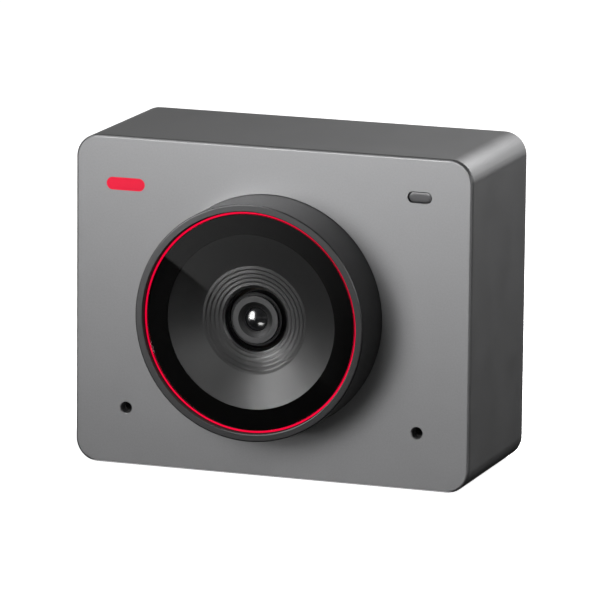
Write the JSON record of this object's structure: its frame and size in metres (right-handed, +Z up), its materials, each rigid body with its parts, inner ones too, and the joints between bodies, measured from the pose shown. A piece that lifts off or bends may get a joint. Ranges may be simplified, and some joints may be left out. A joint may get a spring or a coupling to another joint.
{
  "type": "webcam",
  "caption": "Compact webcam: rounded grey metal body, dark lens collar with a red ring, flat window over a stepped funnel and autofocus lens, rear USB-C port and bottom tripod socket.",
  "frame": {"origin": "middle of the tripod socket's mouth, in the bottom face, under the middle of the body", "axes": "+X to the right seen from the front, the front and the lens face -Y, +Z up; the socket's axis is -Z"},
  "size_m": [0.045, 0.0254, 0.0362],
  "materials": {
    "plate_metal": "bead-blasted satin grey",
    "sleeve_metal": "satin grey",
    "collar_metal": "fine satin dark grey",
    "accent_red": "glossy red lacquer",
    "window_glass": "polished, coated",
    "black_print": "black print on film",
    "baffle_plastic": "matt black moulding",
    "barrel_plastic": "matt black moulding",
    "lens_glass": "polished, coated",
    "filter_glass": "blue-green coated",
    "black_steel": "black oxide",
    "spring_steel": "bare spring strip",
    "magnet_nickel": "nickel plated",
    "copper_wire": "enamelled copper winding",
    "foam": "open-cell foam",
    "gasket_rubber": "soft silicone",
    "frame_plastic": "glass-filled moulding",
    "adhesive_film": "bonding film",
    "board_green": "solder mask",
    "chip_black": "moulded epoxy",
    "sensor_face": "silicon under a thin lid",
    "flex_film": "polyimide film",
    "connector_plastic": "moulded connector",
    "bracket_metal": "plain sheet",
    "sink_metal": "black anodised",
    "tin_steel": "tinned sheet",
    "pad_silicone": "thermal silicone",
    "light_plastic": "smoked light pipe",
    "led_lens": "moulded resin",
    "microphone_metal": "plated can",
    "port_steel": "stainless shell",
    "cover_plastic": "fine grained moulding",
    "screw_steel": "blackened screw",
    "socket_brass": "nickel-plated insert"
  },
  "bodies": {
    "housing": {"front_plate": "plate_metal", "body_sleeve": "sleeve_metal", "lens_collar": "collar_metal", "accent_ring": "accent_red", "cover_glass": "window_glass", "window_mask": "black_print", "funnel_baffle": "baffle_plastic", "dust_foam": "foam", "focus_magnets": "magnet_nickel", "focus_yoke": "black_steel", "focus_front_spring": "spring_steel", "focus_rear_spring": "spring_steel", "focus_base": "frame_plastic", "sensor_holder": "frame_plastic", "infrared_filter": "filter_glass", "image_sensor": "sensor_face", "sensor_board": "board_green", "sensor_stiffener": "tin_steel", "sensor_flex": "flex_film", "flex_connector": "connector_plastic", "module_bracket": "bracket_metal", "bracket_screws": "screw_steel", "inner_frame": "frame_plastic", "plate_adhesive": "adhesive_film", "collar_screws": "screw_steel", "microphone_gaskets": "gasket_rubber", "microphone_boards": "board_green", "microphones": "microphone_metal", "light_pipe": "light_plastic", "status_light": "led_lens", "light_board": "board_green", "signal_flexes": "flex_film", "main_board": "board_green", "processor": "chip_black", "thermal_pad": "pad_silicone", "heat_sink": "sink_metal", "heat_sink_screws": "screw_steel", "shield_can": "tin_steel", "memory_chips": "chip_black", "power_coils": "chip_black", "usb_shell": "port_steel", "usb_tongue": "chip_black", "rear_cover": "cover_plastic", "cover_screws": "screw_steel", "tripod_socket": "socket_brass"},
    "focus_group": {"lens_barrel": "barrel_plastic", "front_lens_element": "lens_glass", "second_lens_element": "lens_glass", "third_lens_element": "lens_glass", "fourth_lens_element": "lens_glass", "rear_lens_element": "lens_glass", "lens_spacers": "barrel_plastic", "lens_retainer": "barrel_plastic", "focus_carrier": "frame_plastic", "focus_coil": "copper_wire"}
  },
  "joints": [
    {"name": "focus_slide", "type": "slide", "parent": "housing", "child": "focus_group", "axis": [0, -1, 0], "range_m": [0, 0.0003], "stiffness_N_per_m": 40, "springref_m": -0.0001, "deforming": ["focus_front_spring", "focus_rear_spring"]}
  ]
}
